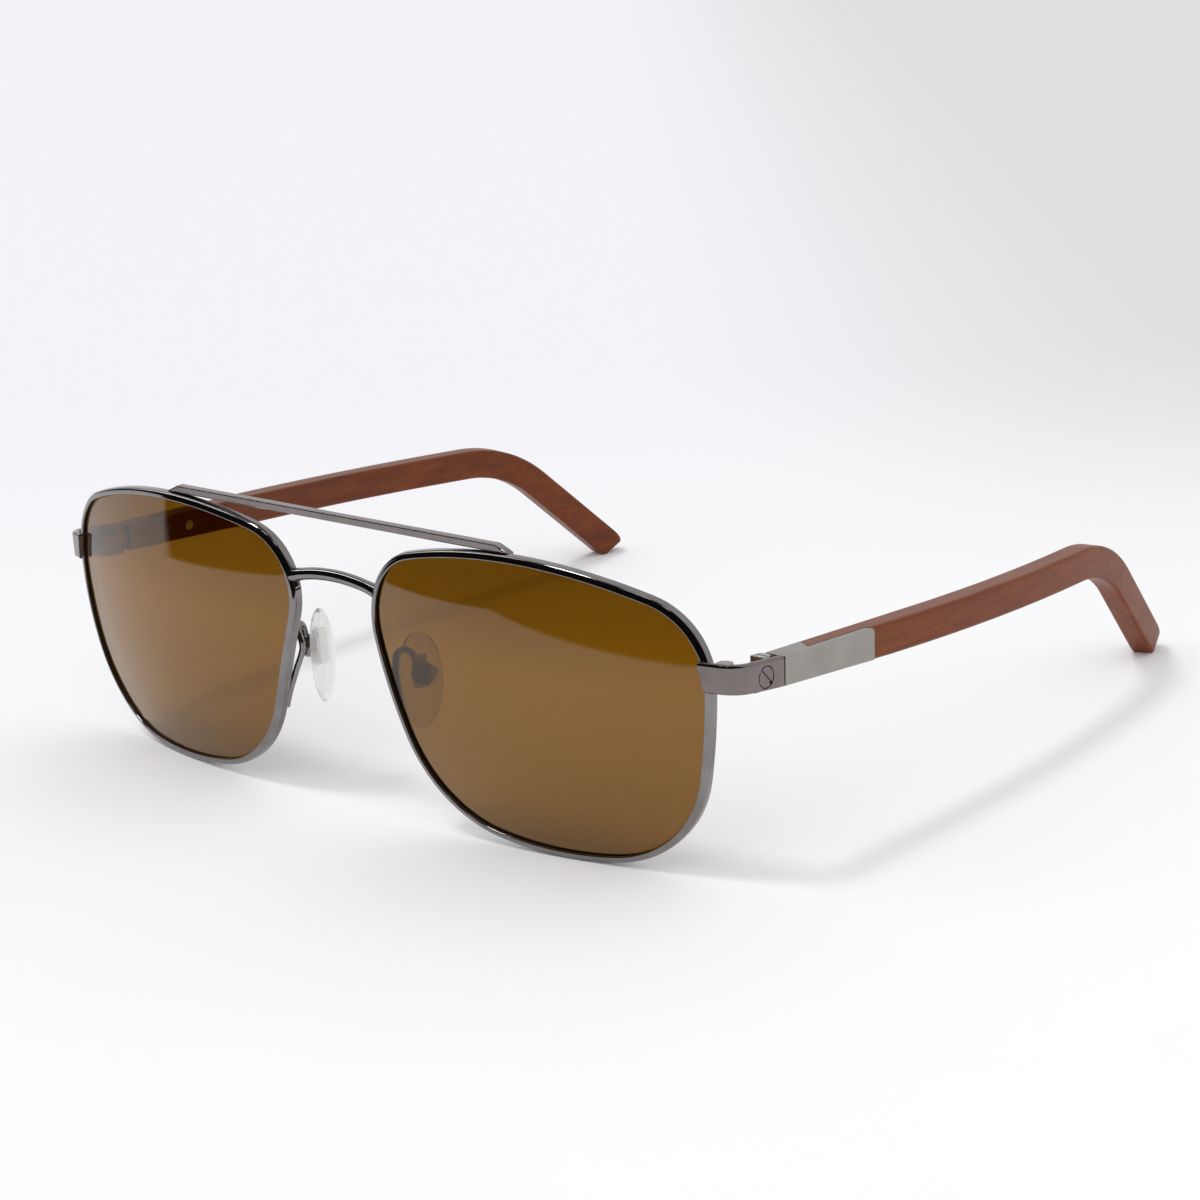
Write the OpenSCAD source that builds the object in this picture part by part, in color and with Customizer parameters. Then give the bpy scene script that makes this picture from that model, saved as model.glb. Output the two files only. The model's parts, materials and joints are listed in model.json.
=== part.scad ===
// Sunglasses with a metal front, tinted lenses, sprung hinges and wooden temples, open on a table.
// X runs along the front, Y goes back towards the ears, Z is up, and all sizes are in millimetres.
// Right means the side at +X, on the right as the front is looked at: every piece is made there and mirrored.

/* [Front] */
// Widest size of one rim, seen square on
rim_width = 60; // [57:0.5:63]
// Gap between the two rims at the nose
nose_gap = 16.1; // [15.1:0.2:17.1]
// Angle that each rim is turned round the face
wrap = 6.7; // [5.5:0.1:8]
// Angle that the top of the front leans forward
face_tilt = 2.5; // [1.5:0.1:3.5]
// Radius of the ball that the front follows
curve_r = 101; // [96:1:112]
// Width of a rim's front face
rim_face = 1.05; // [1:0.05:1.3]
// Depth of a rim from front to back
rim_depth = 1.6; // [1.5:0.05:1.9]

/* [Lenses] */
// Lens thickness
lens_thick = 1.9; // [1.6:0.1:2]
// Thickness of a lens's edge in its groove
lens_lip = 0.8; // [0.7:0.05:0.85]
// How far a lens sits behind the front of its rim
lens_set = 0.55; // [0.45:0.05:0.6]
// Depth of the groove that holds the lens
groove = 0.4; // [0.3:0.05:0.5]
// Gap round a lens in its groove
lens_fit = 0.03; // [0.02:0.01:0.06]

/* [Bridge and brow bar] */
// Thickness of the round bridge wire
bridge_d = 1.9; // [1.6:0.1:2.2]
// Rise of the bridge in the middle
bridge_rise = 1.2; // [0.8:0.1:2]
// Height of the bridge's ends above the middle of the rims
bridge_up = 13.1; // [12:0.1:14]
// Half length of the straight part of the brow bar
bar_half = 34.2; // [33:0.1:35]
// Height of the brow bar
bar_tall = 1.2; // [1.1:0.1:1.6]
// Depth of the brow bar
bar_deep = 1.4; // [1.2:0.1:1.8]

/* [Nose pads] */
// Height of a nose pad
pad_tall = 15; // [13:0.5:16]
// Width of a nose pad
pad_wide = 6.9; // [6.4:0.1:7.2]
// Thickness of a nose pad in the middle
pad_thick = 2.4; // [2.2:0.1:2.8]
// Distance between the middles of the two pads
pad_apart = 21.8; // [21:0.2:23]
// How far the middle of a pad is behind the front
pad_back = 8.1; // [7.8:0.1:8.6]
// Angle that the pads open towards the face
pad_splay = 25; // [22:1:28]
// Thickness of the pad arm wire
wire_d = 1; // [0.85:0.05:1.1]

/* [Hinges] */
// Height of an end piece
end_tall = 4.4; // [4.3:0.1:4.8]
// Thickness of an end piece's metal
end_thick = 1.1; // [1:0.05:1.2]
// How far an end piece stands out past its rim
end_reach = 3.95; // [3.65:0.1:4.25]
// Distance from the side of the rim back to the hinge pin
hinge_back = 9.1; // [8.9:0.1:9.7]
// Height of the hinges above the middle of the rims
hinge_up = 6.65; // [6.35:0.1:7.25]
// Radius of a hinge knuckle
knuckle_r = 1.2; // [1.15:0.05:1.3]
// Diameter of the hinge screw's shank
hinge_pin_d = 1.1; // [1:0.05:1.2]
// Radial running gap round a hinge pin
pin_run = 0.04; // [0.02:0.01:0.08]
// Gap beside a piece that slides in a slot
slot_run = 0.05; // [0.03:0.01:0.08]
// Gap round a screw or rivet in its hole
screw_fit = 0.02; // [0.01:0.01:0.04]
// Diameter of the slotted screw head on an end piece
end_screw_d = 3; // [2.6:0.1:3.2]
// Gap between an end piece and its temple
seam_gap = 0.1; // [0.06:0.02:0.2]

/* [Temples] */
// Height of a temple at its hinge
front_tall = 4.3; // [4.2:0.1:4.6]
// Height of a temple where it starts to bow
arm_tall = 5; // [4.8:0.1:5.3]
// Height of a temple from the ear bend on
bend_tall = 5.2; // [5:0.1:5.6]
// Thickness of a wooden temple
arm_thick = 3.9; // [3.8:0.1:4.3]
// Angle that the temples go down towards the ears
arm_slope = 4.1; // [3.6:0.1:4.8]
// Angle that each open temple turns out at its hinge
splay = 1.5; // [0.5:0.1:2.5]
// Distance from the hinge pin to the start of the bow
bow_at = 25.6; // [24:0.2:28]
// Radius of the inward bow of the wood
bow_r = 303; // [280:1:360]
// Distance from the hinge pin to the start of the ear bend
bend_at = 80; // [70:1:88]
// Radius of the ear bend
bend_r = 24; // [20:1:30]
// Angle of the ear bend
bend_angle = 40.5; // [36:0.5:44]
// Radius of the long edges of the wood
edge_round = 0.6; // [0.4:0.05:0.8]
// Distance from the hinge pin to the rear end of the metal side plate
plate_end = 21.6; // [20:0.2:23.6]
// Thickness of the metal side plate
plate_thick = 1.05; // [0.9:0.05:1.1]
// Thickness of the metal housing at the hinge
housing_thick = 3.6; // [3.5:0.05:3.7]
// Gap between the wood and the metal let into it
wood_fit = 0.03; // [0.02:0.01:0.06]

/* [Hidden] */
$fn = 48;
ball_sides = 240;
left = -1;
right = 1;
// How far cuts run past what they cut, and how far shapes that join run into each other
far = 20;
lap = 1;

// Colours of the real pieces
gunmetal = [0.30, 0.29, 0.29];
brushed = [0.58, 0.57, 0.55];
steel = [0.72, 0.72, 0.70];
tint = [0.42, 0.28, 0.08, 0.85];
clear_pad = [0.90, 0.90, 0.87, 0.75];
wood = [0.47, 0.27, 0.20];

// Rim outline: corner circles held inside large side arcs, written for a rim 60 wide
grow = rim_width / 60;
corner = grow * [[-18.7, 9.4], [17.3, 6.5], [10.1, -3.8], [-4.7, -0.5]];
corner_r = grow * [11.3, 12.8, 18.6, 21.4];
side_r = grow * [76, 74, 74, 173];
nasal = 3;
corner_steps = 9;
side_steps = 8;
side_c = [for (i = [0:3]) let (j = (i + 1) % 4)
    holder(corner[i], side_r[i] - corner_r[i], corner[j], side_r[i] - corner_r[j])];

// Centre of the arc that two corner circles touch from inside
function holder(a, ra, b, rb) =
    let (d = b - a, l = norm(d), e = d / l, m = (ra * ra - rb * rb + l * l) / (2 * l))
    a + m * e + sqrt(ra * ra - m * m) * [e[1], -e[0]];
function dir(v) = atan2(v[1], v[0]);
function turn(a, b) = (b - a + 540) % 360 - 180;
function arc(c, r, a, b, n) =
    [for (i = [0:n - 1]) let (t = a + turn(a, b) * i / n) c + r * [cos(t), sin(t)]];
function outline(inset) = [for (i = [0:3])
    let (j = (i + 1) % 4, k = (i + 3) % 4)
    let (a = dir(corner[i] - side_c[k]), b = dir(corner[i] - side_c[i]), c = dir(corner[j] - side_c[i]))
    each concat(arc(corner[i], corner_r[i] - inset, a, b, corner_steps),
                arc(side_c[i], side_r[i] - inset, b, c, side_steps))];
// How far back the front's ball lies at a place on the outline, on a face that is "back" behind it
function sag(u, v, back) = curve_r - sqrt(pow(curve_r - back, 2) - u * u - v * v);
function eye_turn(p) =
    let (y = cos(face_tilt) * p[1] - sin(face_tilt) * p[2])
    let (z = sin(face_tilt) * p[1] + cos(face_tilt) * p[2])
    [cos(wrap) * p[0] - sin(wrap) * y, sin(wrap) * p[0] + cos(wrap) * y, z];
function rim_loop(back) = [for (p = outline(0)) eye_turn([p[0], sag(p[0], p[1], back), p[1]])];
function column(list, i) = [for (p = list) p[i]];

// Places worked out from the rims, which stand on the table
front_loop = rim_loop(0);
back_loop = rim_loop(rim_depth);
eye_x = nose_gap / 2 - min(concat(column(front_loop, 0), column(back_loop, 0)));
eye_z = -min(column(front_loop, 2));
rim_side_x = eye_x + max(column(front_loop, 0));
rim_side_y = max(column(front_loop, 1));
rim_top = eye_z + max(column(back_loop, 2));
function nasal_u(v) = side_c[nasal][0] - sqrt(pow(side_r[nasal], 2) - pow(v - side_c[nasal][1], 2));
// Point behind the nasal side of a rim, at height v and a gap behind its back face
function nasal_pt(v, inset, gap) =
    let (u = nasal_u(v) + inset)
    eye_turn([u, sag(u, v, rim_depth) + gap, v]) + [eye_x, 0, eye_z];

// Gap between the thick part of a lens and the rim
lens_gap = 0.05;

// Bridge and brow bar: both run on into the rims, which cut them off
bridge_y = 2.2;
bridge_lap = 1.1;
bridge_half = nose_gap / 2 + bridge_lap;
bridge_r = (bridge_half * bridge_half + bridge_rise * bridge_rise) / (2 * bridge_rise);
bridge_sweep = asin(bridge_half / bridge_r);
bar_over = 1.15;
bar_tip = 2.4;
bar_tip_tall = 0.1;
bar_y = 2.1;

// Nose pads, in a frame with X towards the rim, Y across the pad and Z up
pad_drop = 0.1;
pad_low = 1.5;
pad_c = [pad_apart / 2, pad_back, eye_z - pad_drop];
pad_rear = 1;
pad_ball = 18;
pad_egg = 0.07;
pad_steps = 32;
core_plate = [0.5, 2.2, 5.2];
core_x = 0.2;
core_fit = 0.03;
boss = [1.85, 1, 1.5];
cup_r = 1.8;
cup_x = 1.5;
cup_deep = 1.5;
cup_slot = [1.25, boss[1] + 2 * slot_run, 1.9];
rock_x = 2.1;
pad_pin_r = 0.35;
pad_pin_half = 1.85;
pad_head_r = 0.55;
pad_head_tall = 0.25;
wire_x = 2.3;
wire_sides = 10;
wire_steps = 4;
function pad_pt(p) = pad_c + [p[0] * cos(pad_splay) + p[1] * sin(pad_splay),
                              p[1] * cos(pad_splay) - p[0] * sin(pad_splay), p[2]];
// Pad arm: up the back of the rim by height, inset and gap, then over to the cup by distance across and up
wire_foot = [[-9, 0.5, 0.2], [-6.5, 0.5, 0.45], [-3, 0.5, 1.1], [0.5, 0.6, 1.8]];
wire_over = [[-3.75, 3.7], [-2.65, 4.3], [-1.6, 3.6], [-1, 2.1], [-0.3, 1]];
wire_path = concat([for (p = wire_foot) nasal_pt(p[0], p[1], p[2])],
                   [for (p = wire_over) pad_pt([wire_x, p[0], p[1]])]);

// Hinges, in a frame with Z on the hinge pin, Y back along the end piece and X outwards
knuckle_gap = 0.2;
inner_wall = knuckle_r + knuckle_gap;
wall_x = inner_wall + end_thick;
hinge_x = rim_side_x + end_reach - wall_x;
hinge_y = rim_side_y + hinge_back;
hinge_z = eye_z + hinge_up;
seam_back = 0.7;
seam = knuckle_r + seam_back;
end_lead = 1.45;
end_in = 1.45;
end_angle = 22;
end_rise = 0.85;
end_slant = 0.9;
end_bend = 4.2;
end_start = [rim_side_x - end_in - hinge_x, rim_side_y - end_lead - hinge_y];
end_c = [wall_x - end_bend,
         end_start[1] + (end_bend + (wall_x - end_bend - end_start[0]) * sin(end_angle)) / cos(end_angle)];
end_bend_steps = 12;
end_outer = end_line(end_start, end_bend, wall_x);
end_inner = end_line(end_start + end_thick * [-sin(end_angle), cos(end_angle)],
                     end_bend - end_thick, inner_wall);
// One face of an end piece's metal from the rim round the bend to the temple
function end_line(start, r, x) =
    concat([start], arc(end_c, r, end_angle - 90, 0, end_bend_steps), [[x, end_c[1]], [x, seam + lap]]);
// Rise of an end piece's upright metal, steady from the temple to the rim, where its end is cut at a slant
function end_run(i) =
    i == len(end_outer) - 1 ? 0 : norm(end_outer[i + 1] - end_outer[i]) + end_run(i + 1);
end_steep = end_rise / end_run(0);
function end_ring(i) =
    let (cut = i == 0 ? end_slant : 0, step = cut * [cos(end_angle), sin(end_angle)])
    let (a = end_outer[i], b = end_inner[i])
    let (top = end_tall / 2 + end_steep * end_run(i) - a[1] * tan(arm_slope))
    let (c = a + step, d = b + step, low = top - end_tall - end_steep * cut - step[1] * tan(arm_slope))
    [[a[0], a[1], top], [c[0], c[1], low], [d[0], d[1], low], [b[0], b[1], top]];
block_over = 0.1;
block_tall = end_tall + 2 * block_over;
block_front = -3.3;
block_step = -1.2;
block_drop = 1;
tongue_tall = 1.6;
tongue_thick = 1.1;
tongue_swing = 0.2;
slot_tall = tongue_tall + 2 * slot_run;
knuckle_run = 0.12;
slot_r = knuckle_r + knuckle_run;
hinge_head_wall = 0.3;
hinge_head_r = knuckle_r - hinge_head_wall;
hinge_head_tall = 0.55;
end_screw_y = -2.15;
end_screw_deep = 0.5;
end_shank_r = 0.6;
end_shank_in = 0.4;
end_shank_gap = 0.1;
end_screw_gap = 0.14;
end_slot_w = 0.45;
slot_w = 0.3;
slot_deep = 0.25;
lock_out = 0.5;
lock_back = 2.2;
lock = [rim_side_x + lock_out - hinge_x, (rim_side_y + lock_back - hinge_y) / cos(arm_slope)];
lock_r = 1.2;
lock_slit = 0.2;
slit_in = 4;
lock_half = block_tall / 2;
lock_low = 1.3;
lock_dome = 0.2;
lock_foot = 1.7;
lock_cap = 0.3;
lock_end_gap = 0.2;
lock_pin_r = 0.45;
lock_head_r = 0.85;
lock_head_tall = 0.5;

// Temples, in the hinge frame turned out by the splay of the open temple
house_shy = 0.05;
function tall_at(s) = lookup(s, [[house_start, front_tall], [bow_at, arm_tall], [bend_at, bend_tall]]);
function house_half(s) = tall_at(s) / 2 - house_shy;
house_in = wall_x - housing_thick;
house_start = seam + seam_gap;
plate_in = wall_x - plate_thick;
plate_round = 0.8;
plate_steps = 8;
block_end = 8;
block_slant = 1.4;
slant_rate = block_slant / (plate_in - house_in);
tail_half = [0.9, 1.05];
tail_end = 16;
tongue_end = 7.1;
collar_gap = 0.1;
collar_thick = 0.9;
collar = [tongue_end + collar_gap, tongue_end + collar_gap + collar_thick];
rod_r = 0.4;
rod_end = 12.8;
chamber_r = 0.76;
chamber_end = 13.2;
nut_r = 0.68;
nut_tall = 0.8;
coil_wire_r = 0.1;
coil_r = 0.58;
coil_turns = 7;
spring_travel = 1.4;
coil_start = collar[1] + spring_travel;
coil_end = rod_end - nut_tall;
coil_steps = 12;
coil_sides = 6;
rivet_y = 14.4;
rivet_r = 0.5;
rivet_head_r = 0.9;
rivet_head_tall = 0.3;
rivet_in = 0.4;
rivet_gap = 0.1;

// Wooden temple: stations along its middle, each with a place, a dip angle and a share of the full size
arm_mid = wall_x - arm_thick / 2;
run_steps = 8;
bend_steps = 10;
edge_steps = 3;
tip_rise = 0.8;
tip_cut = 20;
// Rounding of the tip: distance before its end, share of the cut's angle and share of the full size
tip_blunt = [[2.2, 0, 1], [1.4, 0.25, 0.98], [0.7, 0.55, 0.93], [0.2, 0.85, 0.8], [0, 1, 0.6]];
bend_s = bend_at + bend_r * sin(bend_angle);
bend_z = -bend_r * (1 - cos(bend_angle));
function hook_at(l) = [bend_s + l * cos(bend_angle), bend_z - l * sin(bend_angle)];
// Point across, along and up a straight temple, moved to the bowed one
function bowed(p) =
    let (a = max(0, p[1] - bow_at) / bow_r * 180 / PI)
    [p[0] * cos(a) - bow_r * (1 - cos(a)), min(p[1], bow_at) + (bow_r + p[0]) * sin(a), p[2]];
function hinge_pt(p) =
    let (y = p[1] * cos(splay) - p[0] * sin(splay))
    [hinge_x + p[0] * cos(splay) + p[1] * sin(splay),
     hinge_y + y * cos(arm_slope) + p[2] * sin(arm_slope),
     hinge_z - y * sin(arm_slope) + p[2] * cos(arm_slope)];
// Length of the hook that brings the tip down to the table
function above_table(l) = let (h = hook_at(l)) hinge_pt(bowed([arm_mid, h[0], h[1]]))[2] - tip_rise;
function reach_table(l, tries) = tries == 0 ? l
    : reach_table(l + above_table(l) / sin(bend_angle + arm_slope), tries - 1);
hook = reach_table(20, 4);
stations = concat(
    [for (s = [block_end - lap, bow_at]) [s, 0, 0, 1]],
    [for (i = [1:run_steps - 1]) [bow_at + (bend_at - bow_at) * i / run_steps, 0, 0, 1]],
    [for (i = [0:bend_steps]) let (a = bend_angle * i / bend_steps)
        [bend_at + bend_r * sin(a), -bend_r * (1 - cos(a)), a, 1]],
    [for (b = tip_blunt) concat(hook_at(hook - b[0]), [bend_angle + tip_cut * b[1], b[2]])]);
half_t = arm_thick / 2;
flat_t = half_t - edge_round;
function arm_section(h) =
    let (c = h - edge_round)
    [for (q = [[flat_t, -c, 0], [-flat_t, -c, 270], [-flat_t, c, 180], [flat_t, c, 90]])
        for (i = [0:edge_steps])
            let (a = q[2] - 90 * i / edge_steps)
            [q[0] + edge_round * cos(a), q[1] + edge_round * sin(a)]];
arm_rings = [for (s = stations) [for (q = arm_section(tall_at(s[0]) / 2))
    bowed([arm_mid + s[3] * q[0], s[0] + s[3] * q[1] * sin(s[2]), s[1] + s[3] * q[1] * cos(s[2])])]];
back_y = max([for (r = arm_rings) for (p = r) hinge_pt(p)[1]]);
mid_y = (min(column(front_loop, 1)) + back_y) / 2;

// Frames
module place(side) translate([0, -mid_y, 0]) mirror([side < 0 ? 1 : 0, 0, 0]) children();
module eye() translate([eye_x, 0, eye_z]) rotate([0, 0, wrap]) rotate([face_tilt, 0, 0]) children();
module hinge() translate([hinge_x, hinge_y, hinge_z]) rotate([-arm_slope, 0, 0]) children();
module arm() hinge() rotate([0, 0, -splay]) children();
module pad() translate(pad_c) rotate([0, 0, -pad_splay]) children();

// Shapes used by several pieces
module prism(inset) translate([0, far, 0]) rotate([90, 0, 0]) linear_extrude(2 * far) polygon(outline(inset));
module ball(back) translate([0, curve_r, 0]) sphere(r = curve_r - back, $fn = ball_sides);
module shell(front, back) difference() {
    ball(front);
    ball(back);
}
module along_x(a, b) translate([a, 0, 0]) rotate([90, 0, 90]) linear_extrude(b - a) children();
module round_x(r, a, b) translate([a, 0, 0]) rotate([0, 90, 0]) cylinder(r = r, h = b - a);
module round_y(r, a, b) translate([0, b, 0]) rotate([90, 0, 0]) cylinder(r = r, h = b - a);
module round_z(r, a, b) translate([0, 0, a]) cylinder(r = r, h = b - a);
module box(a, b) translate(a) cube(b - a);
module loft(rings) {
    m = len(rings[0]);
    n = len(rings);
    sides = [for (i = [0:n - 2]) for (j = [0:m - 1])
        let (k = (j + 1) % m, a = i * m, b = a + m)
        each [[a + j, b + j, b + k], [a + j, b + k, a + k]]];
    caps = [[for (j = [0:m - 1]) j], [for (j = [m - 1:-1:0]) (n - 1) * m + j]];
    polyhedron(points = [for (r = rings) each r], faces = concat(caps, sides));
}
function unit(v) = v / norm(v);
function heading(p, i) = unit(p[min(i + 1, len(p) - 1)] - p[max(i - 1, 0)]);
function square_to(v, t) = unit(v - (v * t) * t);
function carried(p, v) = [for (i = 0, n = square_to(v, heading(p, 0)); i < len(p);
    i = i + 1, n = square_to(n, heading(p, min(i, len(p) - 1)))) n];
function tube_rings(p, r, sides) = let (v = carried(p, [1, 0, 0]))
    [for (i = [0:len(p) - 1]) let (w = cross(heading(p, i), v[i]))
        [for (j = [0:sides - 1]) p[i] + r * (cos(360 * j / sides) * v[i] + sin(360 * j / sides) * w)]];
// Smooth curve through a list of points
function curve_at(p, i, t) =
    let (a = p[max(i - 1, 0)], b = p[i], c = p[i + 1], d = p[min(i + 2, len(p) - 1)])
    0.5 * (2 * b + (c - a) * t + (2 * a - 5 * b + 4 * c - d) * t * t + (3 * b - a - 3 * c + d) * t * t * t);
function curve(p, n) =
    concat([for (i = [0:len(p) - 2]) for (k = [0:n - 1]) curve_at(p, i, k / n)], [p[len(p) - 1]]);

// Metal front
module rim(side) color(gunmetal) place(side) difference() {
    eye() intersection() {
        difference() {
            prism(0);
            prism(rim_face);
        }
        shell(0, rim_depth);
    }
    eye() intersection() {
        prism(rim_face - groove);
        shell(lens_set - lens_fit, lens_set + lens_lip + lens_fit);
    }
    hinge() box([lock[0] - slit_in, end_start[1] - lap, -lock_slit / 2],
                [lock[0] + lap, lock[1] + lap, lock_slit / 2]);
}

module lens(side) color(tint) place(side) eye() {
    intersection() {
        prism(rim_face - groove + lens_fit);
        shell(lens_set, lens_set + lens_lip);
    }
    intersection() {
        prism(rim_face + lens_gap);
        shell(lens_set, lens_set + lens_thick);
    }
}

module both_eyes() {
    eye() children();
    mirror([1, 0, 0]) eye() children();
}

module bridge() color(gunmetal) place(right) difference() {
    translate([0, bridge_y, eye_z + bridge_up + bridge_rise - bridge_r])
        rotate([90, 0, 0]) rotate([0, 0, 90 - bridge_sweep])
            rotate_extrude(angle = 2 * bridge_sweep) translate([bridge_r, 0]) circle(d = bridge_d);
    both_eyes() prism(0);
}

module brow_bar() color(gunmetal) place(right) difference() {
    top = rim_top + bar_over;
    half = bar_half + bar_tip;
    tip = rim_top + bar_tip_tall;
    translate([0, bar_y + bar_deep, 0]) rotate([90, 0, 0]) linear_extrude(bar_deep)
        polygon([[-half, rim_top - bar_tall], [-half, tip], [-bar_half, top], [bar_half, top], [half, tip],
                 [half, rim_top - bar_tall], [bar_half, top - bar_tall], [-bar_half, top - bar_tall]]);
    both_eyes() prism(0);
}

// Split blocks and screws that close the rims round the lenses
module lock_half_block(side, z0, z1, hole0, hole1) color(gunmetal) place(side) difference() {
    hinge() difference() {
        translate([lock[0], lock[1], 0]) {
            round_z(lock_r, z0, z1);
            box([-lock_foot, -lap, z0], [0, lock_r, min(z1, lock_half)]);
        }
        translate([lock[0], lock[1], 0]) round_z(lock_pin_r + screw_fit, hole0, hole1);
    }
    eye() prism(0);
}
module lock_upper(side)
    lock_half_block(side, lock_slit / 2, lock_half + lock_dome, -lap, lock_half - lock_cap);
module lock_lower(side)
    lock_half_block(side, -lock_low, -lock_slit / 2, -far, far);

module lock_screw(side) color(steel) place(side) hinge() translate([lock[0], lock[1], 0]) difference() {
    union() {
        round_z(lock_pin_r, -lock_low - lock_head_tall / 2, lock_half - lock_cap - lock_end_gap);
        round_z(lock_head_r, -lock_low - lock_head_tall, -lock_low);
    }
    box([-lock_head_r, -slot_w / 2, -far], [lock_head_r, slot_w / 2, slot_deep - lock_low - lock_head_tall]);
}

// Nose pads and what carries them
module pad_arm(side) color(gunmetal) place(side) difference() {
    loft(tube_rings(curve(wire_path, wire_steps), wire_d / 2, wire_sides));
    eye() intersection() {
        prism(0);
        shell(0, rim_depth);
    }
    pad() round_x(cup_r, cup_x - lap, cup_x + cup_deep + lap);
}

module pad_cup(side) color(gunmetal) place(side) pad() difference() {
    round_x(cup_r, cup_x, cup_x + cup_deep);
    box([cup_x - lap, -cup_slot[1] / 2, -cup_slot[2] / 2],
        [cup_x + cup_slot[0], cup_slot[1] / 2, cup_slot[2] / 2]);
    translate([rock_x, 0, 0]) round_y(pad_pin_r + screw_fit, -far, far);
}

module pad_screw(side) color(steel) place(side) pad() translate([rock_x, 0, 0]) difference() {
    union() {
        round_y(pad_pin_r, -pad_pin_half, pad_pin_half + pad_head_tall / 2);
        round_y(pad_head_r, pad_pin_half, pad_pin_half + pad_head_tall);
    }
    box([-pad_head_r, pad_pin_half + pad_head_tall / 2, -slot_w / 4], [pad_head_r, far, slot_w / 4]);
}

module core_shape(gap) {
    box([core_x - gap, -core_plate[1] / 2 - gap, -core_plate[2] / 2 - gap],
        [core_x + core_plate[0] + gap, core_plate[1] / 2 + gap, core_plate[2] / 2 + gap]);
    box([core_x, -boss[1] / 2 - gap, -boss[2] / 2 - gap],
        [core_x + core_plate[0] + boss[0], boss[1] / 2 + gap, boss[2] / 2 + gap]);
}

module pad_core(side) color(steel) place(side) pad() difference() {
    core_shape(0);
    translate([rock_x, 0, 0]) round_y(pad_pin_r + pin_run, -far, far);
}

module nose_pad(side) color(clear_pad) place(side) pad() difference() {
    intersection() {
        along_x(pad_rear - pad_thick, pad_rear)
            polygon([for (i = [0:pad_steps - 1]) let (t = 360 * i / pad_steps)
                [pad_wide / 2 * cos(t) * (1 + pad_egg * sin(t)), pad_tall / 2 * sin(t) - pad_low]]);
        translate([pad_rear - pad_thick + pad_ball, 0, -pad_low]) sphere(r = pad_ball, $fn = ball_sides);
    }
    core_shape(core_fit);
}

// End pieces and hinges
module end_piece(side) color(gunmetal) place(side) difference() {
    translate([hinge_x, hinge_y, hinge_z]) loft([for (i = [0:len(end_outer) - 1]) end_ring(i)]);
    arm() box([-far, seam, -far], [far, far, far]);
    hinge() translate([0, end_screw_y, 0]) {
        round_x(end_screw_d / 2 + end_screw_gap, wall_x - end_screw_deep, far);
        round_x(end_shank_r + screw_fit, 0, far);
    }
    eye() intersection() {
        prism(0);
        ball(0);
    }
}

module end_screw(side) color(gunmetal) place(side) hinge() translate([0, end_screw_y, 0]) difference() {
    union() {
        round_x(end_screw_d / 2, wall_x - end_screw_deep, wall_x);
        round_x(end_shank_r, end_shank_in, wall_x - end_screw_deep / 2);
    }
    rotate([-45, 0, 0])
        box([wall_x - slot_deep, -end_screw_d, -end_slot_w / 2], [far, end_screw_d, end_slot_w / 2]);
}

module hinge_block(side) color(gunmetal) place(side) hinge() difference() {
    union() {
        box([-knuckle_r, block_front, -block_tall / 2], [inner_wall, 0, block_tall / 2 - block_drop]);
        box([-knuckle_r, block_step, -block_tall / 2], [inner_wall, 0, block_tall / 2]);
        round_z(knuckle_r, -block_tall / 2, block_tall / 2);
    }
    round_z(slot_r, -slot_tall / 2, slot_tall / 2);
    box([-far, -tongue_thick / 2 - tongue_swing, -slot_tall / 2], [0, far, slot_tall / 2]);
    round_z(hinge_pin_d / 2 + screw_fit, -far, far);
    round_z(hinge_head_r + screw_fit, block_tall / 2 - hinge_head_tall, far);
    translate([0, end_screw_y, 0]) round_x(end_shank_r + screw_fit, end_shank_in - end_shank_gap, far);
}

module hinge_screw(side) color(steel) place(side) hinge() difference() {
    union() {
        round_z(hinge_pin_d / 2, -block_tall / 2, block_tall / 2 - hinge_head_tall / 2);
        round_z(hinge_head_r, block_tall / 2 - hinge_head_tall, block_tall / 2);
    }
    box([-hinge_head_r, -slot_w / 2, block_tall / 2 - slot_deep], [hinge_head_r, slot_w / 2, far]);
}

// Sprung hinge: a tongue that the coil spring pulls into the temple
module hinge_tongue(side) color(steel) place(side) arm() difference() {
    union() {
        round_z(knuckle_r, -tongue_tall / 2, tongue_tall / 2);
        box([-tongue_thick / 2, 0, -tongue_tall / 2], [tongue_thick / 2, tongue_end, tongue_tall / 2]);
        round_y(rod_r, tongue_end - lap, rod_end);
    }
    round_z(hinge_pin_d / 2 + pin_run, -far, far);
}

module spring(side) color(steel) place(side) arm() {
    n = coil_turns * coil_steps;
    pitch = (coil_end - coil_start - 2 * coil_wire_r) / n;
    loft(tube_rings([for (i = [0:n]) let (a = 360 * i / coil_steps)
        [coil_r * cos(a), coil_start + coil_wire_r + pitch * i, coil_r * sin(a)]], coil_wire_r, coil_sides));
}

module spring_nut(side) color(steel) place(side) arm() difference() {
    round_y(nut_r, coil_end, rod_end);
    round_y(rod_r + screw_fit, -far, far);
}

// Temples
// Side outline of the metal, or of the room for it, by its half heights at the front and at the rear
function plate_side(gap, front, rear) =
    let (round_y = plate_end - plate_round, round_z = house_half(plate_end - plate_round) - plate_round)
    concat([[house_start, -front], [plate_end + gap, -rear]],
           arc([round_y, round_z], plate_round + gap, 0, 90, plate_steps),
           [[round_y, round_z + plate_round + gap], [round_y, rear], [house_start, front]]);

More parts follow.
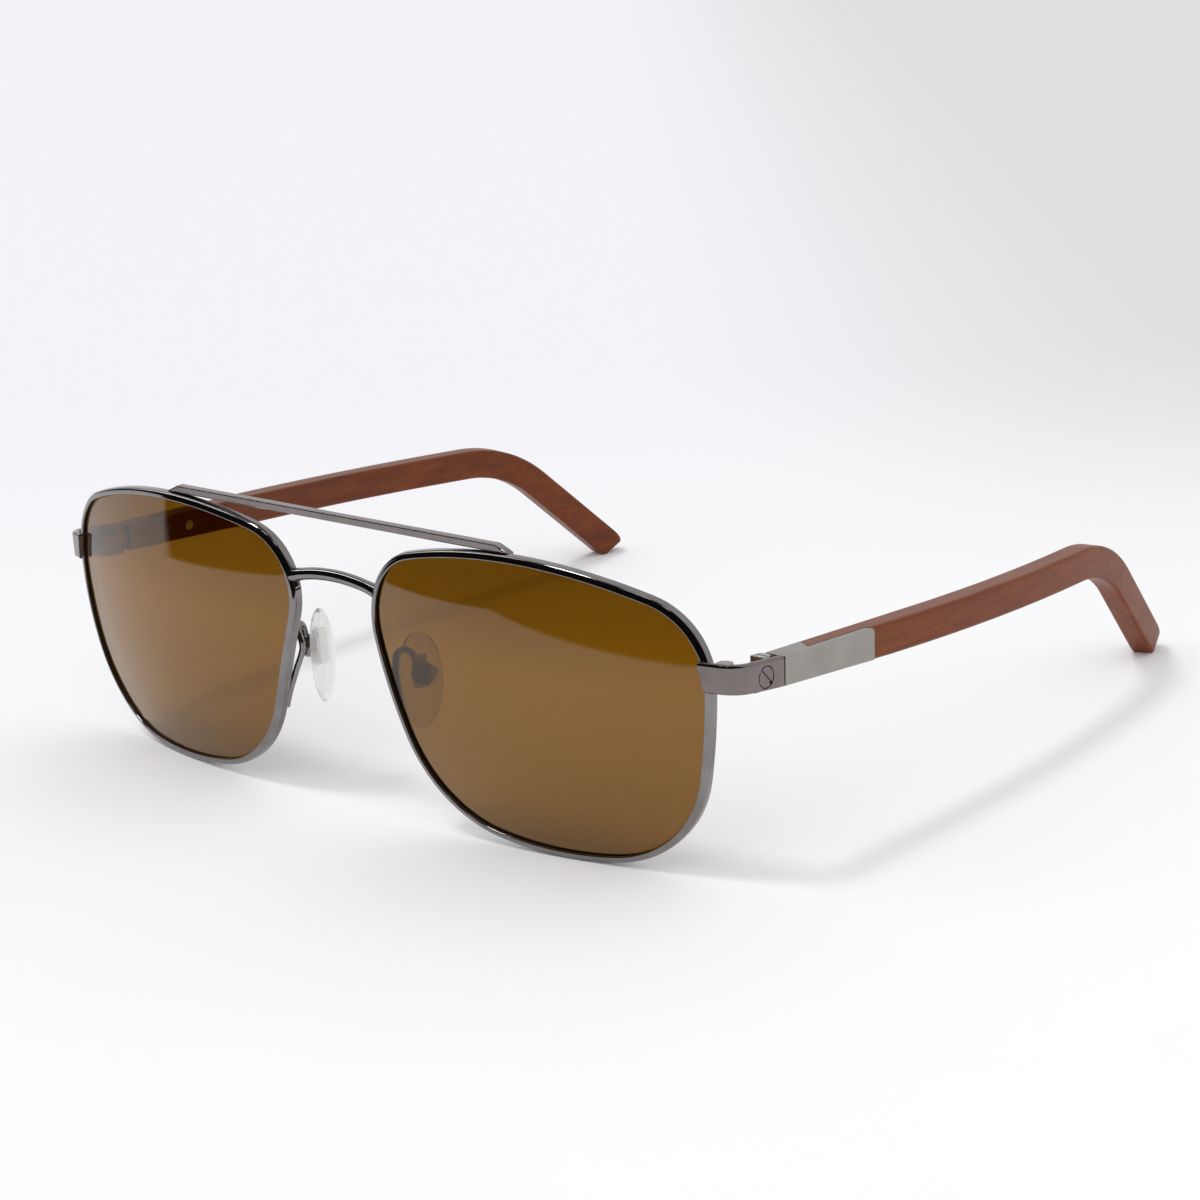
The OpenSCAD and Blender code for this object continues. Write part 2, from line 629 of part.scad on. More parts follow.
module temple_housing(side) color(brushed) place(side) arm() difference() {
    intersection() {
        union() {
            translate([0, 0, -far]) linear_extrude(2 * far)
                polygon([[house_in, house_start], [wall_x, house_start], [wall_x, plate_end],
                         [plate_in, plate_end], [plate_in, block_end], [house_in, block_end + block_slant]]);
            box([-tail_half[0], block_end - lap, -tail_half[1]], [tail_half[0], tail_end, tail_half[1]]);
        }
        along_x(-far, far)
            polygon(plate_side(0, house_half(house_start), house_half(plate_end - plate_round)));
    }
    box([-tongue_thick / 2 - slot_run, -far, -slot_tall / 2],
        [tongue_thick / 2 + slot_run, collar[0], slot_tall / 2]);
    round_y(rod_r + slot_run, 0, collar[1] + lap);
    round_y(chamber_r, collar[1], chamber_end);
    translate([0, rivet_y, 0]) round_x(rivet_r + screw_fit, -far, rivet_in + rivet_gap);
}

module temple_wood(side) color(wood) place(side) difference() {
    arm() difference() {
        loft(arm_rings);
        translate([0, 0, -far]) linear_extrude(2 * far)
            polygon([[-far, 0], [far, 0], [far, block_end + wood_fit], [plate_in, block_end + wood_fit],
                     [-far, block_end + wood_fit + (plate_in + far) * slant_rate]]);
        along_x(plate_in - wood_fit, far) polygon(plate_side(wood_fit, far, far));
        box([-tail_half[0] - wood_fit, 0, -tail_half[1] - wood_fit],
            [tail_half[0] + wood_fit, tail_end + wood_fit, tail_half[1] + wood_fit]);
        translate([0, rivet_y, 0]) round_x(rivet_r + screw_fit, -far, 0);
    }
    box([0, 0, -far], [2 * rim_side_x, 2 * back_y, 0]);
}

module rivet(side) color(steel) place(side) arm() translate([0, rivet_y, 0]) {
    inner = wall_x - arm_thick;
    round_x(rivet_r, inner - rivet_head_tall / 2, rivet_in);
    round_x(rivet_head_r, inner - rivet_head_tall, inner);
}

rim(left);  // rim_left
rim(right);  // rim_right
lens(left);  // lens_left
lens(right);  // lens_right
bridge();
brow_bar();
lock_upper(left);  // lock_upper_left
lock_upper(right);  // lock_upper_right
lock_lower(left);  // lock_lower_left
lock_lower(right);  // lock_lower_right
lock_screw(left);  // lock_screw_left
lock_screw(right);  // lock_screw_right
pad_arm(left);  // pad_arm_left
pad_arm(right);  // pad_arm_right
pad_cup(left);  // pad_cup_left
pad_cup(right);  // pad_cup_right
pad_screw(left);  // pad_screw_left
pad_screw(right);  // pad_screw_right
pad_core(left);  // pad_core_left
pad_core(right);  // pad_core_right
nose_pad(left);  // nose_pad_left
nose_pad(right);  // nose_pad_right
end_piece(left);  // end_piece_left
end_piece(right);  // end_piece_right
end_screw(left);  // end_screw_left
end_screw(right);  // end_screw_right
hinge_block(left);  // hinge_block_left
hinge_block(right);  // hinge_block_right
hinge_screw(left);  // hinge_screw_left
hinge_screw(right);  // hinge_screw_right
hinge_tongue(left);  // hinge_tongue_left
hinge_tongue(right);  // hinge_tongue_right
spring(left);  // spring_left
spring(right);  // spring_right
spring_nut(left);  // spring_nut_left
spring_nut(right);  // spring_nut_right
temple_housing(left);  // temple_housing_left
temple_housing(right);  // temple_housing_right
temple_wood(left);  // temple_wood_left
temple_wood(right);  // temple_wood_right
rivet(left);  // rivet_left
rivet(right);  // rivet_right
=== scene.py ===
"""Sunglasses with a metal front, tinted lenses, sprung hinges and wooden temples, open on a pale table."""
import json
from math import asin, atan2, cos, pi, radians, sin, sqrt, tau

import bmesh
import bpy
from mathutils import Matrix, Vector

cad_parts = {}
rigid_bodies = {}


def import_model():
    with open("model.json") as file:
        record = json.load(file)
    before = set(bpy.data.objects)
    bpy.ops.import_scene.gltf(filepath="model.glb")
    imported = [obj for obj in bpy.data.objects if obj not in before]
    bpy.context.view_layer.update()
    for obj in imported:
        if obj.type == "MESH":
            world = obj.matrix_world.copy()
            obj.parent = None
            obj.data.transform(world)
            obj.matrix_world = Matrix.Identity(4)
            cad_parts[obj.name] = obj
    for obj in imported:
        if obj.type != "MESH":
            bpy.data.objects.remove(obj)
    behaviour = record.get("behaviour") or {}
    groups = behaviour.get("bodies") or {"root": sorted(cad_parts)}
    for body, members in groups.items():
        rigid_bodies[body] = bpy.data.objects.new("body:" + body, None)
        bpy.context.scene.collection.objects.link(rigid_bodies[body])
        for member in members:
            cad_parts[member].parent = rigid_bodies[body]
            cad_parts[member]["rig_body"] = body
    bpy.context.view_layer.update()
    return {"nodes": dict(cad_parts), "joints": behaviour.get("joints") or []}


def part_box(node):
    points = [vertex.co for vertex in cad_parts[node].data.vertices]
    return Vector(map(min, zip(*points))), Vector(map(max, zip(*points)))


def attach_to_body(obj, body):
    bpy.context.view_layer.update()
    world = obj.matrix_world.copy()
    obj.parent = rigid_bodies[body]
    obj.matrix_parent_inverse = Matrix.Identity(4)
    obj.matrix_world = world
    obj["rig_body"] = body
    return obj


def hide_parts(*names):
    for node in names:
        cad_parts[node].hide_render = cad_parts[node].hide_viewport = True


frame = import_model()
SIDES = {"left": -1, "right": 1}
MM = 0.001
JOINTS = {j["name"]: j for j in frame["joints"]}
NODES = frame["nodes"]

# Camera at the photograph's angle, in millimetres, radians and pixels of a 1200 by 1200 picture
VIEW_TARGET = Vector((25.63, -33.035, 28.88))
VIEW_AZIMUTH = 0.7542
VIEW_ELEVATION = 0.2926
VIEW_ROLL = -0.0717
VIEW_DISTANCE = 481.6
CLIP_START = 10
FOCAL_PIXELS = 3194.5
PICTURE_PIXELS = 1200
SENSOR = 36

# Rim outline in millimetres: corner circles held inside large side arcs
CORNER = [Vector(p) for p in ((-18.7, 9.4), (17.3, 6.5), (10.1, -3.8), (-4.7, -0.5))]
CORNER_R = (11.3, 12.8, 18.6, 21.4)
SIDE_R = (76, 74, 74, 173)
NASAL = 3
CORNER_STEPS = 16
SIDE_STEPS = 22

# Front, in millimetres and radians
WRAP = radians(6.7)
FACE_TILT = radians(2.5)
CURVE_R = 101
RIM_FACE = 1.05
RIM_DEPTH = 1.6
RIM_ROUND = {"outer_front": 0.42, "inner_front": 0.2, "inner_back": 0.2, "outer_back": 0.3}
ROUND_STEPS = 6
GROOVE = 0.4
LENS_SET = 0.55
LENS_THICK = 1.9
LENS_LIP = 0.8
LENS_GAP = 0.05
LENS_FIT = 0.03
LENS_RINGS = 14
BRIDGE_R = 0.95
BRIDGE_HALF = 9.15
BRIDGE_RISE = 1.2
BRIDGE_UP = 13.1
BRIDGE_BACK = 2.2
BRIDGE_FLARE = 1.22
BRIDGE_FLARE_FROM = 0.72
BRIDGE_STEPS = 24
BRIDGE_SIDES = 28
BAR_HALF = 34.2
BAR_TIP = 2.4
BAR_TIP_TALL = 0.1
BAR_OVER = 1.15
BAR_TALL = 1.2
BAR_BACK = 2.1
BAR_DEEP = 1.4
BAR_EDGE = 0.2

# Bands of faces round the outline given painted shade: the rim's inner wall with its groove, and the lens's stepped
# edge
RIM_PAINTED_SHADE = (2 * ROUND_STEPS + 1, 2 * ROUND_STEPS + 6)
LENS_PAINTED_SHADE = (LENS_RINGS, LENS_RINGS + 3)

# Nose pads in millimetres, in a frame with X towards the rim, Y across the pad and Z up
ROCK_X = 2.1
PAD_HALF = (3.45, 7.5)
PAD_EGG = 0.07
PAD_LOW = 1.5
PAD_PROFILE = (
    (1.0, 0.0), (1.0, 0.55), (0.97, 0.8), (0.8, 0.94), (0.45, 1.0), (0.1, 0.985), (-0.35, 0.9), (-0.8, 0.72),
    (-1.15, 0.46), (-1.34, 0.2), (-1.4, 0.0))
PAD_SIDES = 48
CUP_PROFILE = (
    (1.5, 0.0), (1.5, 1.62), (1.56, 1.74), (1.7, 1.8), (2.55, 1.8), (2.8, 1.74), (2.98, 1.56), (3.08, 1.2),
    (3.14, 0.7), (3.16, 0.0))
CUP_SIDES = 40
WIRE_R = 0.5
WIRE_X = 2.3
WIRE_FOOT = ((-9, 0.5, 0.2), (-6.5, 0.5, 0.45), (-3, 0.5, 1.1), (0.5, 0.6, 1.8))
WIRE_OVER = ((-3.75, 3.7), (-2.65, 4.3), (-1.6, 3.6), (-1, 2.1), (-0.3, 1))
WIRE_STEPS = 10
WIRE_SIDES = 20

# Smallest share that a ring is drawn in to, so that its points stay apart
SMALLEST = 0.002

# Edge rounding of the pieces that keep the CAD shape, in millimetres
SOFT_EDGES = {
    "end_piece": 0.46, "end_screw": 0.05, "hinge_block": 0.1, "hinge_screw": 0.05, "hinge_tongue": 0.08,
    "lock_upper": 0.25, "lock_lower": 0.12, "lock_screw": 0.06, "pad_screw": 0.05, "pad_core": 0.06,
    "rivet": 0.22, "spring_nut": 0.05, "temple_housing": 0.12, "temple_wood": 0.12}
END_UPRIGHT = 0.05
EDGE_STEPS = 3
SHARP = radians(32)
FLAT = radians(0.4)
SAME_POINT = 0.0005
WELD = 0.002

# How much each temple's wood is darkened as painted shade: the left one, whose inner side gets less light, is
# darker
WOOD_PAINTED_SHADE = {"left": 0.45, "right": 0}

# Floor in metres: for mirror reflections it is a white sheet that ends at two lines and a pale board to the left of
# a third, each given by a direction and a distance from the origin, and beyond them is a dark room
SHEET_EDGES = (((0.393, -0.919, 0), 0.212), ((-0.833, -0.553, 0), 0.262))
BOARD_EDGE = ((-0.49, 0.87, 0), -0.04)
EDGE_BLUR = 0.008
FLOOR_HALF = 4
FLOOR_LOW = -0.00002
# Where the floor's painted shade far behind sets in, across and behind, in metres
FLOOR_ACROSS = (0.01, 0.145)
FLOOR_BEHIND = (-0.04, 0.25)
ROOM = (0.012, 0.011, 0.010)

# Light: soft from all round, with a small key lamp from the front left. Mirror reflections see a dark room, a pale
# wall behind and a long lamp above with gaps along it: each has a direction, a span along it and grey levels there
SKY = (0.86, 0.86, 0.868)
BACKDROP = (0.93, 0.93, 0.94)
WALL = ((-0.2, 0.95, 0.24), (0, 1), ((0.25, 0.012), (0.38, 0.80)))
LAMP_WIDTH = ((0, 0.976, 0.216), (-0.2, 0.2), ((0.34, 0), (0.42, 6), (0.58, 6), (0.66, 0)))
LAMP_LENGTH = ((1, 0, 0), (-1, 1), (
    (0.02, 0.1), (0.08, 1), (0.23, 1), (0.26, 0.15), (0.31, 0.15), (0.33, 1), (0.39, 1), (0.42, 0.1), (0.46, 0.1),
    (0.48, 0.8), (0.54, 0.8), (0.56, 0.05), (0.64, 0.05), (0.66, 0.8), (0.70, 0.8), (0.72, 0)))
LAMP_ABOVE = ((0, 0, 1), (0, 1), ((0.2, 0), (0.25, 1)))
KEY_FROM = Vector((-0.30, -0.26, 0.92))
KEY_ENERGY = 0.63
KEY_ANGLE = radians(12)


# Frames
def axes(origin, x, y, z):
    """Frame from its origin and three directions."""
    m = Matrix((x, y, z)).transposed().to_4x4()
    m.translation = origin
    return m


def arm_frame(side):
    """Frame of a temple: its origin on the hinge pin and Y along the wood, in metres."""
    y = Vector(JOINTS[f"flex_{side}"]["axis"]).normalized()
    z = Vector(JOINTS["fold_right"]["axis"]).normalized()
    return axes(Vector(JOINTS[f"fold_{side}"]["pos_m"]), y.cross(z), y, z)


def pad_frame():
    """Frame of the right nose pad, in millimetres."""
    rock = JOINTS["pad_rock_right"]
    y = Vector(rock["axis"]).normalized()
    z = Vector((0, 0, 1))
    x = y.cross(z)
    return axes(Vector(rock["pos_m"]) / MM - ROCK_X * x, x, y, z)


# Rim outline and the ball that the front follows, in millimetres
def held_arc(i):
    """Centre of the side arc that corner circles i and i + 1 touch from inside."""
    j = (i + 1) % 4
    ra, rb = SIDE_R[i] - CORNER_R[i], SIDE_R[i] - CORNER_R[j]
    step = CORNER[j] - CORNER[i]
    length = step.length
    step.normalize()
    along = (ra * ra - rb * rb + length * length) / (2 * length)
    return CORNER[i] + along * step + sqrt(ra * ra - along * along) * Vector((step.y, -step.x))


SIDE_C = [held_arc(i) for i in range(4)]


def arc(centre, r, start, end, steps):
    """Points on a circle from one direction towards another, without the last one."""
    a, b = atan2(start.y, start.x), atan2(end.y, end.x)
    turn = (b - a + pi) % tau - pi
    return [centre + r * Vector((cos(a + turn * k / steps), sin(a + turn * k / steps))) for k in range(steps)]


def outline(inset):
    """Rim outline drawn in by an inset, as seen square on."""
    points = []
    for i in range(4):
        j = (i + 1) % 4
        into, out_of, last = CORNER[i] - SIDE_C[i - 1], CORNER[i] - SIDE_C[i], CORNER[j] - SIDE_C[i]
        points += arc(CORNER[i], CORNER_R[i] - inset, into, out_of, CORNER_STEPS)
        points += arc(SIDE_C[i], SIDE_R[i] - inset, out_of, last, SIDE_STEPS)
    return points


def sag(u, v, back):
    """How far back the front's ball lies at a place on the outline, on a face behind it."""
    return CURVE_R - sqrt((CURVE_R - back) ** 2 - u * u - v * v)


def eye_frame():
    """Frame of the right eye: turned with the rim and moved to where the CAD rim is."""
    turn = Matrix.Rotation(WRAP, 4, "Z") @ Matrix.Rotation(FACE_TILT, 4, "X")
    front = [turn @ Vector((p.x, sag(p.x, p.y, 0), p.y)) for p in outline(0)]
    back = [turn @ Vector((p.x, sag(p.x, p.y, RIM_DEPTH), p.y)) for p in outline(0)]
    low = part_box("rim_right")[0] / MM
    start = Vector((min(p.x for p in front + back), min(p.y for p in front), min(p.z for p in front)))
    return Matrix.Translation(low - start) @ turn


EYE = eye_frame()
PAD = pad_frame()
RIM_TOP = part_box("rim_right")[1].z / MM


def on_eye(p, back):
    """Point on the front's ball, a depth behind its outside."""
    return EYE @ Vector((p.x, sag(p.x, p.y, back), p.y))


# Mesh shapes in millimetres: each is a list of points and a list of faces
def grid(rings, closed=False):
    """Skin over rings of equally many points, with end caps unless the rings themselves close."""
    n, m = len(rings), len(rings[0])
    faces = []
    for i in range(n if closed else n - 1):
        for j in range(m):
            a, b = i * m, (i + 1) % n * m
            k = (j + 1) % m
            faces.append((a + j, a + k, b + k, b + j))
    if not closed:
        faces += [tuple(range(m))[::-1], tuple(range((n - 1) * m, n * m))]
    return [p for r in rings for p in r], faces


def tube(path, radii, sides):
    """Round tube along a path, with a radius at each point."""
    rings = []
    turns = [tau * k / sides for k in range(sides)]
    side = Vector((1, 0, 0))
    for i, p in enumerate(path):
        ahead = (path[min(i + 1, len(path) - 1)] - path[max(i - 1, 0)]).normalized()
        side = (side - side.dot(ahead) * ahead).normalized()
        over = ahead.cross(side)
        rings.append([p + radii[i] * (cos(a) * side + sin(a) * over) for a in turns])
    return grid(rings)


def turned(profile, place, outline_at, sides):
    """Solid from a profile: heights along X and shares of an outline in Y and Z, drawn in to its middle."""
    line = [Vector(outline_at(tau * k / sides)) for k in range(sides)]
    middle = sum(line, Vector((0, 0))) / sides
    rings = []
    for x, share in profile:
        share = max(share, SMALLEST)
        rings.append([place @ Vector((x, *(middle + share * (p - middle)))) for p in line])
    return grid(rings)


def slab(points, low, high):
    """Outline in X and Z made thick along Y."""
    return grid([[Vector((x, y, z)) for x, z in points] for y in (low, high)])


def smooth_path(points, steps):
    """Smooth curve through a list of points."""
    path = []
    for i in range(len(points) - 1):
        a, b = points[max(i - 1, 0)], points[i]
        c, d = points[i + 1], points[min(i + 2, len(points) - 1)]
        for k in range(steps):
            t = k / steps
            path.append(0.5 * (2 * b + (c - a) * t + (2 * a - 5 * b + 4 * c - d) * t * t
                               + (3 * b - a - 3 * c + d) * t * t * t))
    return path + [points[-1]]


# Objects
def finish_mesh(mesh, material):
    """Outward faces, smooth shading between sharp edges and one material."""
    work = bmesh.new()
    work.from_mesh(mesh)
    bmesh.ops.recalc_face_normals(work, faces=work.faces)
    work.to_mesh(mesh)
    work.free()
    mesh.materials.clear()
    mesh.materials.append(material)
    for face in mesh.polygons:
        face.use_smooth = True
    mesh.set_sharp_from_angle(angle=SHARP)


def round_edges(obj, width, by_weight=False):
    """Rounds the sharp edges of a piece by a width in millimetres, or by shares of it that its edges hold."""
    bevel = obj.modifiers.new("edges", "BEVEL")
    bevel.width = width * MM
    bevel.segments = EDGE_STEPS
    bevel.limit_method = "WEIGHT" if by_weight else "ANGLE"
    bevel.use_clamp_overlap = not by_weight
    bevel.angle_limit = SHARP
    bevel.harden_normals = True
    weld = obj.modifiers.new("weld", "WELD")
    weld.merge_threshold = WELD * MM
    shading = obj.modifiers.new("shading", "WEIGHTED_NORMAL")
    shading.keep_sharp = True


def attach(obj, node):
    """Puts a piece on the body of the node that it stands for."""
    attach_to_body(obj, NODES[node]["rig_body"])
    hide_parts(node)


def piece(node, shape, material, side=1, edge=0):
    """Piece in place of a node, from a shape on the right side, mirrored for the left."""
    points, faces = shape
    mesh = bpy.data.meshes.new(f"{node}_look")
    mesh.from_pydata([(side * p.x * MM, p.y * MM, p.z * MM) for p in points], [], faces)
    finish_mesh(mesh, material)
    obj = bpy.data.objects.new(f"{node}_look", mesh)
    bpy.context.scene.collection.objects.link(obj)
    if edge:
        round_edges(obj, edge)
    attach(obj, node)
    return obj


def pair(name, shape, material):
    """The same piece on both sides."""
    return [piece(f"{name}_{side}", shape, material, sign) for side, sign in SIDES.items()]


def weigh_edges(work, screw, share):
    """Gives the long edges of an end piece the whole rounding, its upright edges and screw hole a share."""
    low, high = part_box(screw)
    weight = work.edges.layers.float.new("bevel_weight_edge")
    for edge in work.edges:
        a, b = (v.co for v in edge.verts)
        near = ((a + b) / 2 - (low + high) / 2).length < (high - low).length / 2
        upright = abs(a.z - b.z) > (a - b).length / 2
        if edge.is_manifold and edge.calc_face_angle() > SHARP:
            edge[weight] = share if near or upright else 1


def softened(node, material, slot, edge):
    """Copy of a CAD node with its flat faces joined and its edges rounded."""
    by_weight = node.startswith("end_piece")
    mesh = NODES[node].data.copy()
    mesh.name = f"{node}_look"
    work = bmesh.new()
    work.from_mesh(mesh)
    bmesh.ops.remove_doubles(work, verts=work.verts, dist=SAME_POINT * MM)
    bmesh.ops.dissolve_limit(work, angle_limit=FLAT, verts=work.verts, edges=work.edges)
    if by_weight:
        weigh_edges(work, node.replace("piece", "screw"), END_UPRIGHT / edge)
    work.to_mesh(mesh)
    work.free()
    finish_mesh(mesh, material)
    obj = bpy.data.objects.new(f"{node}_look", mesh)
    bpy.context.scene.collection.objects.link(obj)
    round_edges(obj, edge, by_weight)
    attach(obj, node)


# Materials
class Graph:
    """A shader node tree under construction: helper calls add nodes and return their output sockets."""

    def __init__(self, owner):
        owner.use_nodes = True
        self.tree = owner.node_tree

    def node(self, kind, **values):
        n = self.tree.nodes.new(kind)
        for key, value in values.items():
            setattr(n, key, value)
        return n

    def link(self, out, socket):
        self.tree.links.new(out, socket)

    def feed(self, socket, value):
        """Gives an input a socket, a plain number or a colour."""
        if isinstance(value, bpy.types.NodeSocket):
            self.link(value, socket)
        elif isinstance(value, (int, float)):
            socket.default_value = value
        else:
            socket.default_value = (*value, 1)

    def ramp(self, value, *stops):
        """Colours or greys at places along a value."""
        n = self.node("ShaderNodeValToRGB")
        while len(n.color_ramp.elements) < len(stops):
            n.color_ramp.elements.new(0.5)
        for element, (at, colour) in zip(n.color_ramp.elements, stops):
            element.position = at
            grey = isinstance(colour, (int, float))
            element.color = (colour, colour, colour, 1) if grey else (*colour, 1)
        self.link(value, n.inputs["Fac"])
        return n.outputs["Color"]

    def mix(self, kind, fac, a, b):
        """Mix of two colours."""
        n = self.node("ShaderNodeMix", data_type="RGBA", blend_type=kind)
        for name, value in (("Factor", fac), ("A", a), ("B", b)):
            self.feed(n.inputs[name], value)
        return n.outputs["Result"]

    def blend(self, fac, a, b):
        """Blend of two values."""
        n = self.node("ShaderNodeMix", data_type="FLOAT")
        for name, value in (("Factor", fac), ("A", a), ("B", b)):
            self.feed(n.inputs[name], value)
        return n.outputs["Result"]

    def fit(self, value, start, end, low=0, high=1, kind="LINEAR"):
        """Value moved from one range to another and held inside it."""
        n = self.node("ShaderNodeMapRange", interpolation_type=kind)
        for name, number in (("From Min", start), ("From Max", end), ("To Min", low), ("To Max", high)):
            n.inputs[name].default_value = number
        self.link(value, n.inputs["Value"])
        return n.outputs["Result"]

    def math(self, kind, *values):
        n = self.node("ShaderNodeMath", operation=kind)
        for socket, value in zip(n.inputs, values):
            self.link(value, socket)
        return n.outputs["Value"]

    def along(self, vector, direction):
        """How far a vector reaches along a direction."""
        n = self.node("ShaderNodeVectorMath", operation="DOT_PRODUCT")
        n.inputs[1].default_value = direction
        self.link(vector, n.inputs[0])
        return n.outputs["Value"]

    def either(self, fac, a, b):
        """First shader where a value is 0 and second where it is 1."""
        n = self.node("ShaderNodeMixShader")
        for socket, value in zip(n.inputs, (fac, a, b)):
            self.link(value, socket)
        return n.outputs["Shader"]


class Maker(Graph):
    """A node material under construction."""

    def __init__(self, name):
        self.material = bpy.data.materials.new(name)
        super().__init__(self.material)
        self.shader = self.tree.nodes["Principled BSDF"]

    def set(self, **values):
        """Plain values on the shader's own sockets."""
        for key, value in values.items():
            self.shader.inputs[key.replace("_", " ")].default_value = value

    def place(self, size, at=None):
        """Object coordinates in units of a feature size in metres, turned into a frame if one is given."""
        coords = self.node("ShaderNodeTexCoord")
        m = self.node("ShaderNodeMapping", vector_type="TEXTURE")
        m.inputs["Scale"].default_value = size
        if at is not None:
            m.inputs["Location"].default_value = at.translation
            m.inputs["Rotation"].default_value = at.to_euler("XYZ")
        self.link(coords.outputs["Object"], m.inputs["Vector"])
        return m.outputs["Vector"]

    def noise(self, size, at=None, detail=3, rough=0.5, warp=0):
        """Cloudy noise with features of a size in metres."""
        n = self.node("ShaderNodeTexNoise")
        for name, number in (("Scale", 1), ("Detail", detail), ("Roughness", rough), ("Distortion", warp)):
            n.inputs[name].default_value = number
        self.link(self.place(size, at), n.inputs["Vector"])
        return n.outputs["Fac"]

    def bump(self, height, strength, depth):
        n = self.node("ShaderNodeBump")
        n.inputs["Strength"].default_value = strength
        n.inputs["Distance"].default_value = depth
        self.link(height, n.inputs["Height"])
        self.link(n.outputs["Normal"], self.shader.inputs["Normal"])

    def colour(self, socket):
        self.link(socket, self.shader.inputs["Base Color"])

    def roughness(self, socket):
        self.link(socket, self.shader.inputs["Roughness"])


def metal(name, dark, light, rough, grain, bump, at=None, polish=None):
    """Metal with a faint cloudy tone, a fine grain and, if asked, smoother edges above and below."""
    m = Maker(name)
    cloud = m.noise((0.004,) * 3, detail=4)
    fine = m.noise(grain, at, detail=5, rough=0.65)
    tone = m.ramp(cloud, (0.3, dark), (0.7, light))
    m.colour(m.mix("MULTIPLY", 0.35, tone, m.ramp(fine, (0.25, 0.72), (0.75, 1.0))))
    worn = m.fit(fine, 0, 1, *rough)
    if polish is not None:
        normal = m.node("ShaderNodeTexCoord").outputs["Normal"]
        level = m.math("ABSOLUTE", m.along(normal, (0, 0, 1)))
        worn = m.blend(m.ramp(level, (0.15, 0.0), (0.45, 1.0)), worn, polish)
    m.roughness(worn)
    m.bump(fine, bump, 0.00002)
    m.set(Metallic=1.0)
    return m.material


def painted_shade_edge():
    """Near-black painted shade for the lens's stepped edge and for the rim's inner wall and groove round it."""
    m = Maker("painted_shade_edge")
    shade_noise = m.noise((0.0002,) * 3)
    m.colour(m.ramp(shade_noise, (0.3, (0.010, 0.007, 0.004)), (0.7, (0.022, 0.014, 0.008))))
    m.roughness(m.fit(shade_noise, 0, 1, 0.45, 0.65))
    return m.material


def lens_tint():
    """Brown tinted lens, a little darker towards the top."""
    m = Maker("lens_tint")
    height = m.along(m.place((RIM_TOP * MM,) * 3), (0, 0, 1))
    uneven = m.noise((0.03,) * 3, detail=2)
    tint = m.ramp(height, (0.30, (0.208, 0.091, 0.0040)), (0.62, (0.222, 0.096, 0.0038)),
                  (0.80, (0.168, 0.071, 0.0038)), (0.95, (0.152, 0.065, 0.0036)))
    m.colour(m.mix("MULTIPLY", 0.1, tint, m.ramp(uneven, (0.3, 0.8), (0.7, 1.0))))
    m.set(Transmission_Weight=1.0, IOR=1.5, Roughness=0.0)
    return m.material


def silicone():
    """Clear, milky nose pad."""
    m = Maker("clear_silicone")
    cloud = m.noise((0.003,) * 3, detail=4)
    m.colour(m.ramp(cloud, (0.3, (0.955, 0.950, 0.935)), (0.7, (0.975, 0.972, 0.960))))
    m.roughness(m.fit(cloud, 0, 1, 0.08, 0.14))
    m.bump(cloud, 0.05, 0.00005)
    m.set(Transmission_Weight=0.8, IOR=1.18)
    return m.material


def wood(side):
    """Reddish-brown satin wood with its grain along the temple and a few dark specks."""
    at = arm_frame(side)
    m = Maker(f"wood_{side}")
    bands = m.noise((0.0012, 0.03, 0.0016), at, detail=4, rough=0.55, warp=0.6)
    streaks = m.noise((0.00025, 0.009, 0.00035), at, detail=5, rough=0.6)
    pores = m.noise((0.00012, 0.0022, 0.00016), at, detail=2, rough=0.4)
    specks = m.noise((0.0006, 0.0014, 0.0006), at, detail=2)
    patches = m.noise((0.005, 0.012, 0.005), at)
    tone = m.ramp(bands, (0.28, (0.160, 0.037, 0.0085)), (0.5, (0.198, 0.047, 0.0112)),
                  (0.72, (0.234, 0.060, 0.0155)))
    tone = m.mix("MULTIPLY", 0.4, tone, m.ramp(streaks, (0.3, 0.66), (0.62, 1.0)))
    tone = m.mix("MULTIPLY", 0.45, tone, m.ramp(pores, (0.3, 0.45), (0.42, 1.0)))
    tone = m.mix("MULTIPLY", 0.6, tone, m.ramp(specks, (0.24, 0.3), (0.31, 1.0)))
    tone = m.mix("MULTIPLY", 0.35, tone, m.ramp(patches, (0.3, 0.75), (0.65, 1.0)))
    # painted shade: each temple's wood is darkened by its own share
    m.colour(m.mix("MULTIPLY", WOOD_PAINTED_SHADE[side], tone, m.ramp(patches, (0.3, 0.62), (0.65, 0.74))))
    m.roughness(m.fit(streaks, 0, 1, 0.3, 0.42))
    m.bump(m.mix("MULTIPLY", 0.7, streaks, pores), 0.2, 0.00005)
    m.set(Specular_IOR_Level=0.2)
    return m.material


GUNMETAL = metal("gunmetal", (0.222, 0.207, 0.207), (0.275, 0.260, 0.260), (0.04, 0.09), (0.0002,) * 3, 0.03)
SATIN = metal("satin_gunmetal", (0.205, 0.178, 0.176), (0.245, 0.215, 0.212), (0.07, 0.13),
              (0.0004, 0.0004, 0.00008), 0.08, polish=0.07)
BRIGHT = metal("bright_steel", (0.78, 0.78, 0.77), (0.88, 0.88, 0.87), (0.3, 0.45), (0.0003,) * 3, 0.05)
# End pieces and their screws get a darker copy of the satin gunmetal: painted shade
SHADED_END_SATIN = metal("end_satin_painted_shade", (0.190, 0.165, 0.161), (0.228, 0.199, 0.194), (0.07, 0.13),
                  (0.0004, 0.0004, 0.00008), 0.08, polish=0.07)
STEEL = metal("steel", (0.42, 0.42, 0.41), (0.52, 0.52, 0.50), (0.15, 0.26), (0.0003,) * 3, 0.1)
PLATE = {s: metal(f"brushed_plate_{s}", (0.305, 0.290, 0.262), (0.355, 0.340, 0.310), (0.26, 0.4),
                  (0.0008, 0.006, 0.00007), 0.2, arm_frame(s)) for s in SIDES}
PAINTED_SHADE = painted_shade_edge()
LENS = lens_tint()
SILICONE = silicone()
WOOD = {s: wood(s) for s in SIDES}


